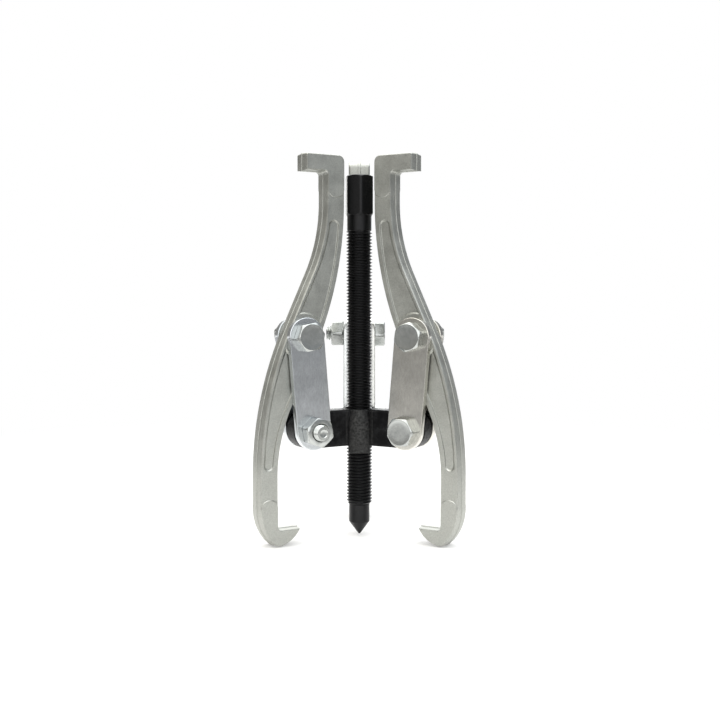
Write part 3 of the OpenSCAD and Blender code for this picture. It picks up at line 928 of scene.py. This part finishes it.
def black_screw():
    """Black oxide, oiled, on a rolled thread: the screw and its point. Deep black and fairly glossy."""
    material, tree, shader, place = new_material("oiled_black_oxide", Metallic=0.7, Roughness=0.34)
    patch = add(tree, "ShaderNodeTexNoise",
                {"Vector": place, "Scale": 1 / (2 * MM), "Detail": 4.0, "Roughness": 0.6})
    tint = add(tree, "ShaderNodeMix", {"Factor": patch, "A": colour("171718"), "B": colour("232324")},
               data_type="RGBA")
    bump = add(tree, "ShaderNodeBump", {"Height": patch, "Distance": 0.2 * MM, "Strength": 0.3})
    connect(tree, shader, {"Base Color": tint, "Normal": bump})
    return material


FORGED_STEEL, ZINC_SHEET, ZINC_FASTENER = forged_steel(), zinc_sheet(), zinc_fastener()
BLACK_FORGING, BLACK_SCREW = black_forging(), black_screw()


# ---------------------------------------------------------------- the pieces

YOKE_AZIMUTHS = sorted(pivot("arm_swing_" + arm)[0] for arm in ARMS)
METRES = Matrix.Scale(MM, 4)


def place_links(link, arm, sides):
    """An arm's two links, each where the frame has it."""
    azimuth = pivot("arm_swing_" + arm)[0]
    for side in sides:
        node = "link_%s_%s" % (arm, side)
        middle = sum(across(node, azimuth)) / 2
        finish_piece(node, link.copy(), arm_matrix(azimuth) @ Matrix.Translation((0, 0, middle)),
                     ZINC_SHEET, "links_" + arm)


def place_fasteners(shapes, height, arm, body, centre):
    """A pivot's bolt and nut. Each is seated with its outer end where the frame has it, and is turned
    over when it sits on the arm's +z side."""
    azimuth = pivot("arm_swing_" + arm)[0]
    for kind, (shape, thickness) in shapes.items():
        node = "%s_%s_%s" % (height, kind, arm)
        low, high = across(node, azimuth)
        over = abs(low) < abs(high) if kind == "bolt" else low < 0
        seat = abs(low if over else high) - thickness
        place = (arm_matrix(azimuth) @ Matrix.Translation((*centre, 0))
                 @ Matrix.Rotation(math.pi if over else 0, 4, "X") @ Matrix.Translation((0, 0, seat))
                 @ Matrix.Rotation(math.radians(TURNS[node]), 4, "Z"))
        finish_piece(node, shape.copy(), place, ZINC_FASTENER, body)


def place_arms():
    """The three arms, from one jaw, one link, one bolt and one nut."""
    jaw, link, bolt, nut = forged_jaw(), stamped_link(), hex_bolt(BOLT_LENGTH), hex_nut(NUT_H)
    fasteners = {"bolt": (bolt, HEAD_H), "nut": (nut, NUT_H)}
    for arm, sides in ARMS.items():
        finish_piece("jaw_" + arm, jaw.copy(), arm_matrix(pivot("arm_swing_" + arm)[0]), FORGED_STEEL,
                     "jaw_" + arm)
        place_links(link, arm, sides)
        place_fasteners(fasteners, "upper", arm, "upper_pivot_" + arm, JAW_PIVOT)
        place_fasteners(fasteners, "lower", arm, "links_" + arm, JAW_LOW)
    for shape in (jaw, link, bolt, nut):
        shape.free()


def place_screw():
    """The centre point and the forcing screw that turns about it."""
    point_low, point_high = levels("screw_point")
    finish_piece("screw_point", centre_point(point_low, point_high), METRES, BLACK_SCREW, "screw_point")
    finish_piece("forcing_screw", forcing_screw(*levels("forcing_screw"), point_high + SPIGOT_END_GAP),
                 METRES, BLACK_SCREW, "forcing_screw")


def place_yoke():
    """The yoke: its body and its post joined, less its holes."""
    low, high = levels("yoke")
    body = solid("yoke body", forged_yoke(JAW_LOW.y))
    post = solid("yoke post", front_post(low, high))
    holes = solid("yoke holes", yoke_holes(low, high))
    finish_piece("yoke", combine(body, [("UNION", post), ("DIFFERENCE", holes)]), METRES, BLACK_FORGING,
                 "yoke")


place_arms()
place_screw()
place_yoke()


# ---------------------------------------------------------------- camera, lights and floor

scene = bpy.context.scene
scene.view_settings.view_transform = "Standard"

CAMERA_PLACE = Vector((0, -0.3861, 0.0915))
CAMERA_TILT = math.radians(2.35)
CAMERA_AIM = Vector((0.0007, math.cos(CAMERA_TILT), -math.sin(CAMERA_TILT)))
LAMP_HEIGHT = 0.75
# The studio's brightness by direction, added up: (axis, from, to, strength before it, strength past it)
STUDIO = [("Y", 0.82, 0.95, 0.42, 3.4), ("Z", 0.4, 0.8, 0.0, 2.4), ("Y", -0.72, -0.95, 0.0, 1.7),
          ("Y", 0.1, 0.6, 0.0, -0.1)]
WHITE = colour("FFFFFF")
BLACK = colour("000000")


def stand(name, data, place, way):
    """Adds a camera or a lamp at a place, looking along a way."""
    thing = bpy.data.objects.new(name, data)
    scene.collection.objects.link(thing)
    thing.location = place
    thing.rotation_euler = Vector(way).to_track_quat("-Z", "Y").to_euler()
    return thing


def place_camera():
    """A 50 mm lens in front of the tool, a little above its middle, looking slightly down."""
    lens = bpy.data.cameras.new("Camera")
    lens.lens = 50
    lens.sensor_width = 36
    lens.shift_y = -0.0278
    scene.camera = stand("Camera", lens, CAMERA_PLACE, CAMERA_AIM)


def hang_lamp():
    """One faint square lamp overhead, for soft shadows under the hooks."""
    lamp = bpy.data.lights.new("overhead", "AREA")
    lamp.shape = "RECTANGLE"
    lamp.size, lamp.size_y = 0.9, 0.9
    lamp.energy = 1.5
    stand("overhead", lamp, (0, 0.05, LAMP_HEIGHT), (0, -0.05, 0.05 - LAMP_HEIGHT))


def light_studio():
    """A white studio: bright behind the tool, above it and behind the viewer, and grey at the sides,
    which is what the metal mirrors. The background itself is plain white."""
    world = bpy.data.worlds.new("studio")
    scene.world = world
    world.use_nodes = True
    sky = world.node_tree
    background = next(node for node in sky.nodes if node.type == "BACKGROUND")
    heading = add(sky, "ShaderNodeTexCoord").outputs["Generated"]
    parts = add(sky, "ShaderNodeSeparateXYZ", {"Vector": heading}).outputs
    around = 0.0
    for axis, start, end, before, past in STUDIO:
        panel = add(sky, "ShaderNodeMapRange",
                    {"Value": parts[axis], "From Min": start, "From Max": end, "To Min": before,
                     "To Max": past}, interpolation_type="SMOOTHSTEP")
        around = add(sky, "ShaderNodeMath", {0: around, 1: panel}, operation="ADD")
    seen = add(sky, "ShaderNodeLightPath").outputs["Is Camera Ray"]
    strength = add(sky, "ShaderNodeMapRange", {"Value": seen, "To Min": around, "To Max": 1.0})
    sideways = add(sky, "ShaderNodeMapRange", {"Value": parts["X"], "From Min": -0.7, "From Max": 0.7})
    cast = add(sky, "ShaderNodeMix", {"Factor": sideways, "A": colour("FFFDF8"), "B": colour("F6FAFF")},
               data_type="RGBA")
    tone = add(sky, "ShaderNodeMix", {"Factor": seen, "A": cast, "B": WHITE}, data_type="RGBA")
    connect(sky, background, {"Color": tone, "Strength": strength})


def lit_table():
    """A white table lit from below: it glows, so that shadows on it stay faint, and fades to pure white
    away from the tool. What the metal mirrors of it is grey near the tool and bright far behind it."""
    material, tree, shader, place = new_material(
        "lit_white_table", Roughness=0.6, Emission_Color=WHITE, Specular_IOR_Level=0.0)
    distance = add(tree, "ShaderNodeVectorMath", {0: place}, operation="LENGTH")
    far = add(tree, "ShaderNodeMapRange", {"Value": distance, "From Min": 0.09, "From Max": 0.38},
              interpolation_type="SMOOTHSTEP")
    tint = add(tree, "ShaderNodeMix", {"Factor": far, "A": colour("CBCAC8"), "B": BLACK}, data_type="RGBA")
    direct_glow = add(tree, "ShaderNodeMapRange", {"Value": far, "To Min": 0.3, "To Max": 1.0})
    depth = add(tree, "ShaderNodeSeparateXYZ", {"Vector": place}).outputs["Y"]
    mirrored_glow = add(tree, "ShaderNodeMapRange",
                        {"Value": depth, "From Min": 0.3, "From Max": 0.9, "To Min": 0.42, "To Max": 2.0},
                        interpolation_type="SMOOTHSTEP")
    seen = add(tree, "ShaderNodeLightPath").outputs["Is Camera Ray"]
    glow = add(tree, "ShaderNodeMapRange", {"Value": seen, "To Min": mirrored_glow, "To Max": direct_glow})
    connect(tree, shader, {"Base Color": tint, "Emission Strength": glow})
    return material


def lay_floor():
    """The table the tool stands on, wide enough to fade out of view."""
    bm = bmesh.new()
    bmesh.ops.create_grid(bm, x_segments=1, y_segments=1, size=3)
    floor = bare_object("floor", bm)
    floor.data.materials.append(lit_table())


place_camera()
hang_lamp()
light_studio()
lay_floor()
